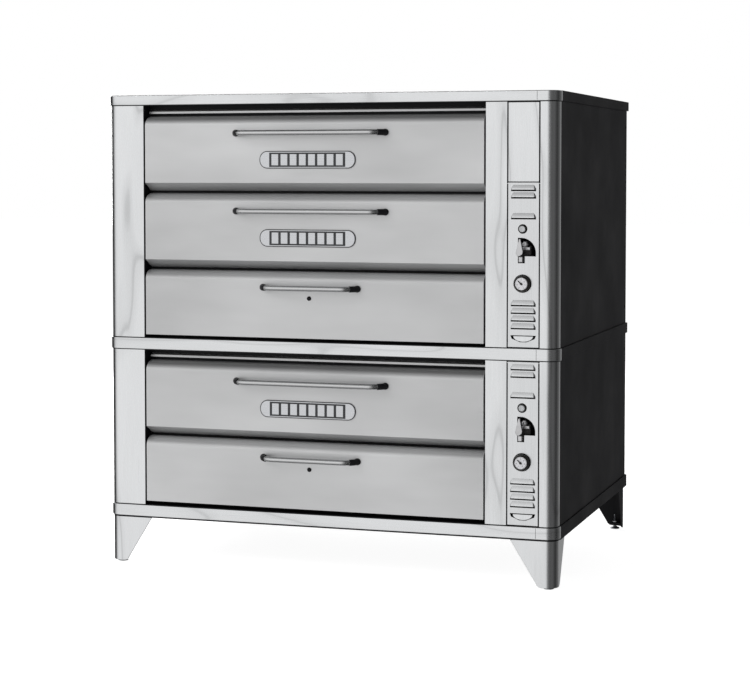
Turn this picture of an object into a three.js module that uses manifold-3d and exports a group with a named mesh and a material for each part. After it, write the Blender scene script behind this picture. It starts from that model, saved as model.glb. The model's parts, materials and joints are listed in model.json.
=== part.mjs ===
// Gas deck oven in two stacked sections: three baking decks and two burner compartments.
// Millimetres, +Z up. The front faces -Y, the floor is Z = 0, X = 0 and Y = 0 are the middle of the plan.
import * as THREE from 'three';
import { mergeVertices } from 'three/addons/utils/BufferGeometryUtils.js';
import Module from 'manifold-3d';

const wasm = await Module();
wasm.setup();

// ---- Driving dimensions: cabinet ----
const cabinetWidth = 1524;        // over the bright bands
const cabinetDepth = 1143;        // over the bright bands
const legHeight = 153;            // floor to the underside of the base pan
const basePanHeight = 42;
const panReveal = 5;              // base pan showing below its band
const middleBandHeight = 37;
const topBandHeight = 32;
const bandProud = 4;              // how far the bands stand out from the body sheets
const bandThickness = 3.5;
const bandTail = 6.5;             // flat end of a bright band, behind its rounded corner
const bodySetback = 15;           // body back panel, in from the back of the bands
const cornerRadius = 40;          // front corners of the bands
const sheet = 2;
const flangeThickness = 2.5;
const fitGap = 0.3;               // between pieces that rest on each other

// ---- Front layout, from left to right ----
const leftPostWidth = 127;
const stileWidth = 68;
const coverWidth = 97;
const rightPostWidth = 56;
const sideGap = 4;                // beside the control cover and at the right of a door
const hingeGap = 8;               // at the left of a door
const flangeDepth = 48.5;         // how far post and stile flanges reach back
const postTail = 4.5;             // flat end of a post on the side, behind its rounded corner

// ---- Doors ----
const burnerDoorHeight = 214;
const doorGap = 7.5;
const doorHeadroom = 37;
const doorProud = 1.5;            // door faces stand this far in front of the bands
const doorSkin = 2;
const bakingDoorDepth = 50;
const burnerDoorDepth = 40;
const rollHeight = 30;            // rolled top edge
const pivotBehindFace = 21;
const bakingPivotRise = 23;       // hinge line above the bottom of a baking door
const burnerPivotRise = 21;
const chamferTop = 3;             // bottom chamfer starts this far above the hinge line
const rodRadius = 4;
const rodClearance = 0.3;
const rodEngagement = 3;          // past the jamb flange

// ---- Handles ----
const handleReach = 47;           // door face to the front of the bar
const barRadius = 8.5;
const bakingHandleSpan = 528;     // over the two feet
const burnerHandleSpan = 342;
const handleSlope = 38;           // sideways run of each sloping end
const bendRun = 12;               // where the bend starts to leave the straight bar
const handleSides = 8;
const bakingHandleHeight = 186.5; // above the bottom of the door
const burnerHandleHeight = 163;
const bossRadius = 11;
const bossLength = 5;

// ---- Oven chambers ----
const jawGap = 7;                 // closed door to the front of the oven box
const chamberInset = 40.5;        // door edge to chamber wall
const chamberHeight = 178.5;
const doorLap = 13;               // a baking door laps over the top of its chamber
const hearthStep = 29;            // hearth top above the hinge line
const hearthThickness = 38;
const hearthLedge = 12;
const hearthSetback = 2;
const compartmentInset = 60;      // door edge to burner compartment wall
const mouthMargin = 11;           // compartment mouth inside its door, top and bottom
const headerDepth = 60;
const wallRear = 110;             // insulation behind the chambers
const flueSpace = 149.5;          // oven box to back panel
const boxSideGap = 6;
const portWidth = 300;
const portHeight = 25;

// ---- Gas and controls ----
const dialShift = 2.5;            // dial and button, left of the middle of the cover
const leverShift = 4;             // lever pivot, left of the dial
const coverBottom = 4.5;          // heights below are above the floor of the section
const coverSplit = 3;
const dialHeight = 201.5;
const leverHeight = 297;
const buttonHeight = 370.5;
const dialRadius = 26;
const dialProud = 20;
const leverGap = 3;               // lever to the edge of its window
const windowMargin = 9;           // window to the right edge of the cover
const leverHalfWidth = 8;
const leverProud = 23;
const buttonRadius = 9.7;
const buttonProud = 9;
const collarRadius = 13;
const collarProud = 4;
const lugDrop = 20;
const lugRadius = 8.5;
const lugProud = 10;
const knobClearance = 2.5;
const stemRadius = 4;
const valveSetback = 16;          // gas train bodies behind the cover face
const slitPitch = 23.8;
const slitHeight = 5.5;
const slitMargin = 9;
const lowSlitHeight = 59.5;
const highSlitHeights = [400, 464, 487];
const pullTop = 41;
const pullHeight = 21;
const coverFlange = 12;
const trunnionRadius = 2;
const trunnionInset = 3;
const trunnionBack = 3.5;
const pipeRadius = 13;
const pipeWall = 3.5;
const burnerRadius = 20;
const burnerRise = 60;            // burner axis above the compartment floor
const crossPipeSetback = 400;     // burner cross pipe behind the oven front

// ---- Flue, legs and feet ----
const flueWidth = 300;
const flueHeight = 120;
const flueWall = 3;
const flueDrop = 90;              // collar below the top of the upper section
const legInset = 5;               // leg faces in from the bands
const legThickness = 4;
const legFrontTop = 148;
const legFrontBottom = 66;
const legSideTop = 118;
const legSideBottom = 56;
const legRound = 18;
const padHeight = 6;
const padRadius = 17;
const footInset = 30;
const footStemRadius = 5;
const footStemTop = 52;
const socketHeight = 14;
const socketThickness = 8;

// ---- Places worked out from the dimensions ----
const bandHalf = cabinetWidth / 2;
const bandFront = -cabinetDepth / 2;
const bandBack = cabinetDepth / 2;
const bodyHalf = bandHalf - bandProud;
const bodyFront = bandFront + bandProud;
const bandReturn = cornerRadius + bandTail;
const postReturn = cornerRadius - bandProud + postTail;
const bodyBack = bandBack - bodySetback;
const flangeBack = bodyFront + flangeDepth;
const doorFace = bandFront - doorProud;
const hingeY = doorFace + pivotBehindFace;
const handleFront = doorFace - handleReach;
const ovenFront = doorFace + bakingDoorDepth + jawGap;
const ovenBack = bodyBack - flueSpace;
const chamberBack = ovenBack - wallRear;
const baseTop = legHeight + basePanHeight;

const leftPostRight = -bodyHalf + leftPostWidth;
const rightPostLeft = bodyHalf - rightPostWidth;
const coverRight = rightPostLeft - sideGap;
const coverLeft = coverRight - coverWidth;
const stileRight = coverLeft - sideGap;
const stileLeft = stileRight - stileWidth;
const doorLeft = leftPostRight + hingeGap;
const doorRight = stileLeft - sideGap;
const doorMiddle = (doorLeft + doorRight) / 2;
const bakingDoorHeight = bakingPivotRise + hearthStep + chamberHeight + doorLap;
const dialX = (coverLeft + coverRight) / 2 - dialShift;
const leverX = dialX - leverShift;
const windowReach = coverRight - windowMargin - leverX;
const leverLength = windowReach - leverGap;
const boxLeft = -bodyHalf + sheet + boxSideGap;
const boxRight = stileRight - 1;

// ---- Solids ----
const sides = 12;
const cornerSteps = 8;
const rollSteps = 8;

function solid(geometry) {
  geometry.deleteAttribute('normal');
  geometry.deleteAttribute('uv');
  const merged = mergeVertices(geometry, 1e-4);
  return new wasm.Manifold(new wasm.Mesh({
    numProp: 3,
    vertProperties: new Float32Array(merged.attributes.position.array),
    triVerts: new Uint32Array(merged.index.array),
  }));
}

function box(low, high) {
  const size = high.map((value, i) => value - low[i]);
  const geometry = new THREE.BoxGeometry(...size);
  geometry.translate(...low.map((value, i) => value + size[i] / 2));
  return solid(geometry);
}

// An outline drawn in the plane across an axis, pushed along that axis from one place to another.
function prism(axis, outline, from, to) {
  const shape = new THREE.Shape(outline.map(([a, b]) => new THREE.Vector2(a, b)));
  const geometry = new THREE.ExtrudeGeometry(shape, { depth: to - from, bevelEnabled: false });
  const x = new THREE.Vector3(1, 0, 0);
  const y = new THREE.Vector3(0, 1, 0);
  const z = new THREE.Vector3(0, 0, 1);
  const place = new THREE.Matrix4();
  if (axis === 'x') place.makeBasis(y, z, x).setPosition(from, 0, 0);
  if (axis === 'y') place.makeBasis(x, z, y.clone().negate()).setPosition(0, to, 0);
  if (axis === 'z') place.makeBasis(x, y, z).setPosition(0, 0, from);
  geometry.applyMatrix4(place);
  return solid(geometry);
}

function arc(a, b, radius, fromDegrees, toDegrees, steps) {
  const points = [];
  for (let i = 0; i <= steps; i += 1) {
    const angle = THREE.MathUtils.degToRad(fromDegrees + ((toDegrees - fromDegrees) * i) / steps);
    points.push([a + radius * Math.cos(angle), b + radius * Math.sin(angle)]);
  }
  return points;
}

function rod(axis, a, b, radius, from, to, count = sides) {
  return prism(axis, arc(a, b, radius, 0, 360, count).slice(0, -1), from, to);
}

// Moves every edge of a convex counter-clockwise outline inwards.
function inset(outline, amount) {
  const lines = outline.map(([a, b], i) => {
    const [c, d] = outline[(i + 1) % outline.length];
    const length = Math.hypot(c - a, d - b);
    const along = [(c - a) / length, (d - b) / length];
    return { point: [a - along[1] * amount, b + along[0] * amount], along };
  });
  return lines.map((line, i) => {
    const before = lines[(i + lines.length - 1) % lines.length];
    const cross = before.along[0] * line.along[1] - before.along[1] * line.along[0];
    const offset = [line.point[0] - before.point[0], line.point[1] - before.point[1]];
    const t = (offset[0] * line.along[1] - offset[1] * line.along[0]) / cross;
    return [before.point[0] + before.along[0] * t, before.point[1] + before.along[1] * t];
  });
}

// ---- Finishes ----
const stainless = ['#c4c6c8', 0.38, 0.9];
const brightBand = ['#dcdedf', 0.3, 0.9];
const darkSteel = ['#1d1e20', 0.55, 0.4];
const liningSteel = ['#4a4b4d', 0.6, 0.6];
const hearthSteel = ['#6b665f', 0.8, 0.5];
const castIron = ['#3a3a3c', 0.75, 0.5];
const blackPlastic = ['#161617', 0.4, 0];
const greyPlastic = ['#7d8286', 0.45, 0.2];

function add(group, name, finish, manifold) {
  const mesh = manifold.getMesh();
  const geometry = new THREE.BufferGeometry();
  geometry.setAttribute('position', new THREE.BufferAttribute(mesh.vertProperties, 3));
  geometry.setIndex(new THREE.BufferAttribute(mesh.triVerts, 1));
  geometry.computeVertexNormals();
  const [color, roughness, metalness] = finish;
  const item = new THREE.Mesh(geometry, new THREE.MeshStandardMaterial({ color, roughness, metalness }));
  item.name = name;
  group.add(item);
}

const oven = new THREE.Group();

// ---- Bands and the pans behind them ----
function plan(half, front, back, radius) {
  return [
    [half, back],
    [-half, back],
    ...arc(-half + radius, front + radius, radius, 180, 270, cornerSteps),
    ...arc(half - radius, front + radius, radius, 270, 360, cornerSteps),
  ];
}

// The bright band: a strip across the front that turns both corners.
function trim(bottom, height) {
  const back = bandFront + bandReturn;
  const inner = cornerRadius - bandThickness;
  return prism('z', plan(bandHalf, bandFront, back, cornerRadius), bottom, bottom + height).subtract(
    prism('z', plan(bandHalf - bandThickness, bandFront + bandThickness, back + 1, inner),
      bottom - 1, bottom + height + 1),
  );
}

// The slab behind a band: a steel pan packed with insulation. Its sides carry the band's line on.
function slab(bottom, height) {
  const hidden = bandThickness + fitGap;
  const top = bottom + height;
  const sideFront = bandFront + bandReturn + fitGap;
  return prism('z', plan(bandHalf - hidden, bandFront + hidden, bandBack, cornerRadius - hidden), bottom, top)
    .add(box([-bandHalf, sideFront, bottom], [bandHalf, bandBack, top]));
}

// ---- One section: doors, oven box, posts, panels, controls ----
// Each baking deck is listed from the bottom of the section upwards.
const sections = [
  { name: 'lower', sill: 16, decks: ['bottom'] },
  { name: 'upper', sill: 12, decks: ['middle', 'top'] },
];

for (const section of sections) {
  section.burnerHinge = section.sill + burnerPivotRise;
  const firstDeck = section.sill + burnerDoorHeight + doorGap;
  section.hinges = section.decks.map((_, i) => (
    firstDeck + i * (bakingDoorHeight + doorGap) + bakingPivotRise));
  section.height = firstDeck + section.decks.length * (bakingDoorHeight + doorGap) - doorGap + doorHeadroom;
}
const coverHeight = sections[0].height - 2 * coverBottom;
sections[0].base = baseTop;
sections[1].base = baseTop + sections[0].height + middleBandHeight;
const middleBandBottom = baseTop + sections[0].height;
const topBandBottom = sections[1].base + sections[1].height;

add(oven, 'base_trim', brightBand, trim(legHeight + panReveal, basePanHeight - panReveal));
add(oven, 'base_frame', darkSteel, slab(legHeight, basePanHeight));
add(oven, 'middle_trim', brightBand, trim(middleBandBottom, middleBandHeight));
const riser = box([-flueWidth / 2, ovenBack + 20, middleBandBottom - 1],
  [flueWidth / 2, bodyBack - 20, middleBandBottom + middleBandHeight + 1]);
add(oven, 'middle_deck', darkSteel, slab(middleBandBottom, middleBandHeight).subtract(riser));
add(oven, 'top_trim', brightBand, trim(topBandBottom, topBandHeight));
add(oven, 'top_cover', darkSteel, slab(topBandBottom, topBandHeight));

// Jamb holes for the door rods, on one flange of a post or stile.
function rodHoles(section, from, to) {
  const heights = [section.burnerHinge, ...section.hinges];
  return heights.map((z) => rod('x', hingeY, z, rodRadius + rodClearance, from, to));
}

function trunnionHole(from, to) {
  const z = coverBottom + coverHeight - trunnionInset;
  return rod('x', bodyFront + trunnionBack, z, trunnionRadius + 0.5, from, to, 10);
}

// A corner post folded from one sheet: a side wrap, a rounded corner, the face and a jamb flange.
// side is -1 for the left post and 1 for the right one.
function cornerPost(section, side, width) {
  const radius = cornerRadius - bandProud;
  const outer = [
    [-bodyHalf, bodyFront + postReturn],
    ...arc(-bodyHalf + radius, bodyFront + radius, radius, 180, 270, cornerSteps),
    [-bodyHalf + width, bodyFront],
    [-bodyHalf + width, flangeBack],
  ];
  const inner = [
    [-bodyHalf + width - flangeThickness, flangeBack],
    [-bodyHalf + width - flangeThickness, bodyFront + sheet],
    ...arc(-bodyHalf + radius, bodyFront + radius, radius - sheet, 270, 180, cornerSteps),
    [-bodyHalf + sheet, bodyFront + postReturn],
  ];
  const outline = [...outer, ...inner].map(([x, y]) => [-side * x, y]);
  if (side > 0) outline.reverse();
  return prism('z', outline, fitGap, section.height - fitGap);
}

function sidePanel(section, side) {
  const front = bodyFront + postReturn + fitGap;
  const x = side * bodyHalf;
  const inner = side * (bodyHalf - sheet);
  return box([Math.min(x, inner), front, fitGap], [Math.max(x, inner), bodyBack, section.height - fitGap]);
}

// A door drawn about its hinge line in the plane across X: Y is the first value, Z the second.
function doorOutline(kind, rear) {
  const front = -pivotBehindFace;
  const depth = kind === 'baking' ? bakingDoorDepth : burnerDoorDepth;
  const rise = kind === 'baking' ? bakingPivotRise : burnerPivotRise;
  const top = (kind === 'baking' ? bakingDoorHeight : burnerDoorHeight) - rise;
  const back = front + depth;
  const roll = [];
  for (let i = 0; i <= rollSteps; i += 1) {
    const angle = (Math.PI / 2) * (i / rollSteps);
    roll.push([back - depth * Math.sin(angle), top - rollHeight + rollHeight * Math.cos(angle)]);
  }
  const foot = kind === 'baking'
    ? [[front, chamferTop], [back - 5, -rise], [back + rear, -rise + 9 + rear * 1.8]]
    : [[front, -rise], [back + rear, -rise]];
  const crown = rear > 0 ? [[back + rear, top]] : [];
  return [...foot, ...crown, ...roll];
}

// The space inside a door's sheet, run out past its open rear.
function doorHollow(kind, wall) {
  return prism('x', inset(doorOutline(kind, 3 * wall), wall), doorLeft + wall, doorRight - wall);
}

function door(kind, parts) {
  const depth = kind === 'baking' ? bakingDoorDepth : burnerDoorDepth;
  const bore = rod('x', 0, 0, rodRadius + rodClearance, doorLeft - 1, doorRight + 1);
  const behind = box([doorLeft, depth - pivotBehindFace, -100], [doorRight, depth + 50, 400]);
  const reach = flangeThickness + rodEngagement;
  parts.panel = prism('x', doorOutline(kind, 0), doorLeft, doorRight).subtract(bore);
  parts.skin = parts.panel.subtract(doorHollow(kind, doorSkin));
  parts.liner = doorHollow(kind, doorSkin + fitGap).subtract(behind).subtract(bore);
  parts.rod = rod('x', 0, 0, rodRadius, doorLeft - hingeGap - reach, doorRight + sideGap + reach);
}

// A round bar bowed out from the door on two round feet.
function handle(span, height) {
  const barY = -pivotBehindFace - handleReach + barRadius;
  const footY = -pivotBehindFace - fitGap;
  const end = span / 2 - bossRadius;
  const straight = end - handleSlope - bendRun;
  const section = new THREE.Shape(arc(0, 0, barRadius, 0, 360, handleSides).slice(0, -1)
    .map(([a, b]) => new THREE.Vector2(a, b)));
  let body = rod('x', barY, height, barRadius, doorMiddle - straight, doorMiddle + straight, handleSides);
  for (const side of [-1, 1]) {
    const place = (x, y) => new THREE.Vector3(doorMiddle + side * x, y, height);
    const route = new THREE.QuadraticBezierCurve3(
      place(straight - 1, barY), place(end - handleSlope + bendRun / 2, barY), place(end, footY));
    body = body
      .add(solid(new THREE.ExtrudeGeometry(section, { extrudePath: route, steps: 6, bevelEnabled: false })))
      .add(rod('y', doorMiddle + side * end, height, bossRadius, footY - bossLength, footY));
  }
  return body.subtract(box([doorLeft, footY, height - 50], [doorRight, footY + 60, height + 50]));
}

// Insulated box with its baking chambers, hearth slots, burner compartment and flue ports.
function ovenBox(section) {
  const chamberLeft = doorLeft + chamberInset;
  const chamberRight = doorRight - chamberInset;
  let body = box([boxLeft, ovenFront, fitGap], [boxRight, ovenBack, section.height - fitGap]);
  for (const hinge of section.hinges) {
    const floor = hinge + hearthStep;
    const slot = box(
      [chamberLeft - hearthLedge, ovenFront - 1, floor - hearthThickness - fitGap],
      [chamberRight + hearthLedge, chamberBack + hearthLedge, floor + fitGap]);
    const chamber = box([chamberLeft, ovenFront - 1, floor - 1],
      [chamberRight, chamberBack, floor + chamberHeight]);
    const port = box([doorMiddle - portWidth / 2, chamberBack - 1, floor + chamberHeight - 2 * portHeight],
      [doorMiddle + portWidth / 2, ovenBack + 1, floor + chamberHeight - portHeight]);
    body = body.subtract(slot).subtract(chamber).subtract(port);
  }
  const floor = section.burnerHinge;
  const mouthTop = section.sill + burnerDoorHeight - mouthMargin;
  const left = doorLeft + compartmentInset;
  const right = doorRight - compartmentInset;
  const hearthUnderside = section.hinges[0] + hearthStep - hearthThickness;
  const mouth = box([left, ovenFront - 1, floor], [right, chamberBack, mouthTop]);
  const throat = box([left, ovenFront + headerDepth, mouthTop - 1], [right, chamberBack, hearthUnderside]);
  const port = box([doorMiddle - portWidth / 2, chamberBack - 1, mouthTop - 2 * portHeight],
    [doorMiddle + portWidth / 2, ovenBack + 1, mouthTop - portHeight]);
  const pipeHole = rod('x', ovenFront + crossPipeSetback, floor + burnerRise, burnerRadius + 2,
    right - 1, boxRight + 1);
  return body.subtract(mouth).subtract(throat).subtract(port).subtract(pipeHole);
}

function hearth(hinge) {
  const low = hinge + hearthStep - hearthThickness;
  const reach = chamberInset - hearthLedge + fitGap;
  return box([doorLeft + reach, ovenFront + hearthSetback, low],
    [doorRight - reach, chamberBack + hearthLedge - fitGap, low + hearthThickness]);
}

// Burner: a cross pipe with three tubes running front to back, fed by the gas train at the controls.
function burner(section) {
  const z = section.burnerHinge + burnerRise;
  const crossY = ovenFront + crossPipeSetback;
  const left = doorLeft + compartmentInset;
  const right = doorRight - compartmentInset;
  const front = ovenFront + headerDepth + 20;
  const rear = chamberBack - 40;
  const faceY = bodyFront + valveSetback;
  const trainY = faceY + 50;
  let body = rod('x', crossY, z, burnerRadius, left + 90, dialX, 8);
  for (const share of [0.15, 0.5, 0.85]) {
    const x = left + (right - left) * share;
    body = body.add(rod('y', x, z, burnerRadius, front, rear, 8));
    body = body.add(box([x - 12, front + 30, section.burnerHinge + fitGap], [x + 12, front + 42, z]));
    body = body.add(box([x - 12, rear - 42, section.burnerHinge + fitGap], [x + 12, rear - 30, z]));
  }
  body = body
    .add(rod('y', dialX, z, pipeRadius, trainY, crossY + pipeRadius))
    .add(rod('z', dialX, trainY, pipeRadius, z - pipeRadius, buttonHeight + 20))
    .add(box([dialX - 26, faceY, leverHeight - 26], [dialX + 24, trainY + 4, leverHeight + 22]))
    .add(rod('y', dialX, dialHeight, 30, faceY + 8, trainY + 8))
    .add(rod('y', dialX, buttonHeight, 19, faceY + 4, trainY + 4))
    .add(rod('y', dialX, buttonHeight, collarRadius, bodyFront - collarProud, faceY + 5)
      .subtract(rod('y', dialX, buttonHeight, buttonRadius + 0.4, bodyFront - collarProud - 1, faceY + 4)))
    .add(rod('y', leverX, leverHeight - lugDrop, lugRadius, bodyFront - lugProud, faceY + 1))
    .add(rod('y', dialX, z, pipeRadius, crossY, bandBack + pipeRadius * 2));
  return body.subtract(rod('y', dialX, z, pipeRadius - pipeWall, bandBack, bandBack + pipeRadius * 2 + 1));
}

// The lever's window: the quarter that the lever sweeps, its hub, and a notch round the fixed lug.
function leverWindow() {
  const reach = windowReach;
  const hub = leverHalfWidth + leverGap;
  const notch = lugDrop + lugRadius + 4;
  const half = lugRadius + 2.5;
  return [
    [-hub, -hub], [-half, -hub], [-half, -notch], [half, -notch], [half, -hub], [reach, -hub],
    ...arc(0, 0, reach, 0, 90, 12),
    [-hub, reach],
  ].map(([x, z]) => [leverX + x, leverHeight + z]);
}

// A louvred cover folded from one sheet, hung on two trunnions at its top edge.
function controlCover() {
  const back = bodyFront + sheet;
  const top = coverBottom + coverHeight;
  const pin = [bodyFront + trunnionBack, top - trunnionInset];
  const through = [bodyFront - 1, back + 1];
  let body = box([coverLeft, bodyFront, coverBottom], [coverRight, back, top]);
  for (const [from, to] of [[coverLeft, coverLeft + sheet], [coverRight - sheet, coverRight]]) {
    body = body.add(box([from, bodyFront, coverBottom], [to, bodyFront + coverFlange, top - 1]));
  }
  const tip = sideGap + flangeThickness + 0.5;
  body = body.add(rod('x', ...pin, trunnionRadius, coverLeft - tip, coverLeft + sheet, 10))
    .add(rod('x', ...pin, trunnionRadius, coverRight - sheet, coverRight + tip, 10));
  const slits = [0, 1, 2, 3].map((i) => lowSlitHeight + i * slitPitch).concat(highSlitHeights);
  for (const z of slits) {
    body = body.subtract(box([coverLeft + slitMargin, through[0], z],
      [coverRight - slitMargin, through[1], z + slitHeight]));
  }
  const left = coverLeft + slitMargin - 1;
  const right = coverRight - slitMargin + 1;
  const pull = [
    [left, pullTop], [left + 4, pullTop - pullHeight / 2], [left + 30, pullTop - pullHeight],
    [right - 30, pullTop - pullHeight], [right - 4, pullTop - pullHeight / 2], [right, pullTop],
  ];
  return body
    .subtract(prism('y', pull, ...through))
    .subtract(prism('y', leverWindow(), ...through))
    .subtract(rod('y', dialX, dialHeight, dialRadius + knobClearance, ...through, 24))
    .subtract(rod('y', dialX, buttonHeight, collarRadius + 2, ...through, 16));
}

function blankPanel(section) {
  const low = coverBottom + coverHeight + coverSplit;
  const high = section.height - coverBottom;
  let body = box([coverLeft, bodyFront, low], [coverRight, bodyFront + sheet, high]);
  for (const [from, to] of [[coverLeft, coverLeft + sheet], [coverRight - sheet, coverRight]]) {
    body = body.add(box([from, bodyFront, low], [to, flangeBack, high]));
  }
  return body;
}

function valveLever() {
  const face = bodyFront + valveSetback;
  const front = bodyFront - leverProud;
  const grip = [
    ...arc(0, 0, leverHalfWidth, 160, 380, 8),
    [2.5, leverLength],
    [-2.5, leverLength],
  ].map(([x, z]) => [leverX + x, leverHeight + z]);
  return prism('y', grip, front, front + 9)
    .add(rod('y', leverX, leverHeight, 6, front + 8, face - fitGap));
}

function dial() {
  const front = bodyFront - dialProud;
  const ridge = box([dialX - 3, front - 6, dialHeight - dialRadius + 5],
    [dialX + 3, front + 1, dialHeight + dialRadius - 5]);
  return rod('y', dialX, dialHeight, dialRadius, front, bodyFront - 2, 24)
    .add(ridge)
    .add(rod('y', dialX, dialHeight, stemRadius, bodyFront - 3, bodyFront + valveSetback + 8 - fitGap));
}

function button() {
  return rod('y', dialX, buttonHeight, buttonRadius, bodyFront - buttonProud, bodyFront + 8);
}

const handles = {
  baking: handle(bakingHandleSpan, bakingHandleHeight - bakingPivotRise),
  burner: handle(burnerHandleSpan, burnerHandleHeight - burnerPivotRise),
};

function addDoor(group, kind, name, hinge) {
  const parts = {};
  door(kind, parts);
  const leaf = new THREE.Group();
  leaf.position.set(0, hingeY, hinge);
  group.add(leaf);
  if (kind === 'baking') {
    add(leaf, `${name}_skin`, stainless, parts.skin);
    add(leaf, `${name}_liner`, liningSteel, parts.liner);
  } else {
    add(leaf, `${name}_panel`, stainless, parts.panel);
  }
  add(leaf, `${name}_handle`, stainless, handles[kind]);
  add(leaf, `${name}_rod`, liningSteel, parts.rod);
}

for (const section of sections) {
  const group = new THREE.Group();
  group.position.z = section.base;
  oven.add(group);
  const { name } = section;
  const [leftJamb, rightJamb] = [[leftPostRight - flangeThickness - 1, leftPostRight + 1],
    [stileLeft - 1, stileLeft + flangeThickness + 1]];

  let leftPost = cornerPost(section, -1, leftPostWidth);
  for (const hole of rodHoles(section, ...leftJamb)) leftPost = leftPost.subtract(hole);
  add(group, `${name}_left_post`, stainless, leftPost);
  const rightPost = cornerPost(section, 1, rightPostWidth)
    .subtract(trunnionHole(rightPostLeft - 1, rightPostLeft + flangeThickness + 1));
  add(group, `${name}_right_post`, stainless, rightPost);

  let stile = box([stileLeft, bodyFront, fitGap], [stileRight, flangeBack, section.height - fitGap])
    .subtract(box([stileLeft + flangeThickness, bodyFront + sheet, 0],
      [stileRight - flangeThickness, flangeBack + 1, section.height]))
    .subtract(trunnionHole(stileRight - flangeThickness - 1, stileRight + 1));
  for (const hole of rodHoles(section, ...rightJamb)) stile = stile.subtract(hole);
  add(group, `${name}_door_stile`, stainless, stile);

  add(group, `${name}_left_side`, darkSteel, sidePanel(section, -1));
  add(group, `${name}_right_side`, darkSteel, sidePanel(section, 1));
  const backHalf = bodyHalf - sheet - fitGap;
  const inletHole = rod('y', dialX, section.burnerHinge + burnerRise, pipeRadius + 2, ovenBack, bandBack);
  let back = box([-backHalf, bodyBack - sheet, fitGap], [backHalf, bodyBack, section.height - fitGap])
    .subtract(inletHole);
  if (name === 'upper') {
    const high = section.height - flueDrop;
    const low = high - flueHeight;
    const half = flueWidth / 2;
    back = back
      .add(box([-half, bodyBack - sheet, low], [half, -handleFront, high]))
      .subtract(box([-half + flueWall, bodyBack - 5, low + flueWall],
        [half - flueWall, -handleFront + 1, high - flueWall]));
    add(group, 'upper_blank_panel', stainless, blankPanel(section));
  }
  add(group, `${name}_back`, darkSteel, back);

  add(group, `${name}_oven_box`, liningSteel, ovenBox(section));
  add(group, `${name}_burner`, castIron, burner(section));
  add(group, `${name}_control_cover`, stainless, controlCover());
  add(group, `${name}_valve_lever`, stainless, valveLever());
  add(group, `${name}_thermostat_dial`, blackPlastic, dial());
  add(group, `${name}_pilot_button`, greyPlastic, button());

  addDoor(group, 'burner', `${name}_burner_door`, section.burnerHinge);
  section.decks.forEach((deck, i) => {
    addDoor(group, 'baking', `${deck}_door`, section.hinges[i]);
    add(group, `${deck}_hearth`, hearthSteel, hearth(section.hinges[i]));
  });
}

// ---- Legs and levelling feet ----
// Modelled for the front right corner, then mirrored to the others.
function leg() {
  const outer = bandHalf - legInset;
  const front = bandFront + legInset;
  const top = legHeight - fitGap;
  const radius = cornerRadius - legInset;
  const wall = legThickness;
  const angle = prism('z', plan(outer, front, front + legSideTop, radius), padHeight, top)
    .subtract(prism('z', plan(outer - wall, front + wall, front + legSideTop + 1, radius - wall), 0, top + 1));
  const across = (width, from, along) => {
    const tip = from + along * width.bottom;
    return [
      [from, padHeight], ...(along < 0
        ? arc(tip + legRound, padHeight + legRound, legRound, 270, 195, 3)
        : arc(tip - legRound, padHeight + legRound, legRound, 270, 345, 3)),
      [from + along * width.top, top], [from, top],
    ];
  };
  const frontTaper = across({ top: legFrontTop, bottom: legFrontBottom }, outer, -1).reverse();
  const sideTaper = across({ top: legSideTop, bottom: legSideBottom }, front, 1);
  const footX = outer - footInset;
  const footY = front + footInset;
  const inner = [outer - wall + 1, front + wall - 1];
  const cap = box([outer - legFrontTop + 20, inner[1], top - wall], [inner[0], front + legSideTop - 10, top]);
  const socket = box([footX - 14, inner[1], socketHeight], [inner[0], footY + 14, socketHeight + socketThickness])
    .subtract(rod('z', footX, footY, footStemRadius + 0.5, 0, legHeight));
  const round = prism('z', plan(outer - 1, front + 1, front + legSideTop, radius - 1), 0, legHeight);
  return angle
    .intersect(prism('y', frontTaper, front - 1, front + legSideTop + 1))
    .intersect(prism('x', sideTaper, 0, outer + 1))
    .add(cap.intersect(round))
    .add(socket.intersect(round));
}

function foot() {
  const x = bandHalf - legInset - footInset;
  const y = bandFront + legInset + footInset;
  return rod('z', x, y, padRadius, 0, padHeight - 1, 16)
    .add(rod('z', x, y, footStemRadius, padHeight - 2, footStemTop));
}

const corners = [
  ['front_right', [1, 1, 1]],
  ['front_left', [-1, 1, 1]],
  ['rear_right', [1, -1, 1]],
  ['rear_left', [-1, -1, 1]],
];
for (const [place, flip] of corners) {
  const finish = place.startsWith('front') ? stainless : darkSteel;
  add(oven, `${place}_leg`, finish, leg().scale(flip));
  add(oven, `${place}_foot`, darkSteel, foot().scale(flip));
}

export default oven;
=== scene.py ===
import json
import math

import bmesh
import bpy
from mathutils import Matrix, Vector
from mathutils.geometry import interpolate_bezier

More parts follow.
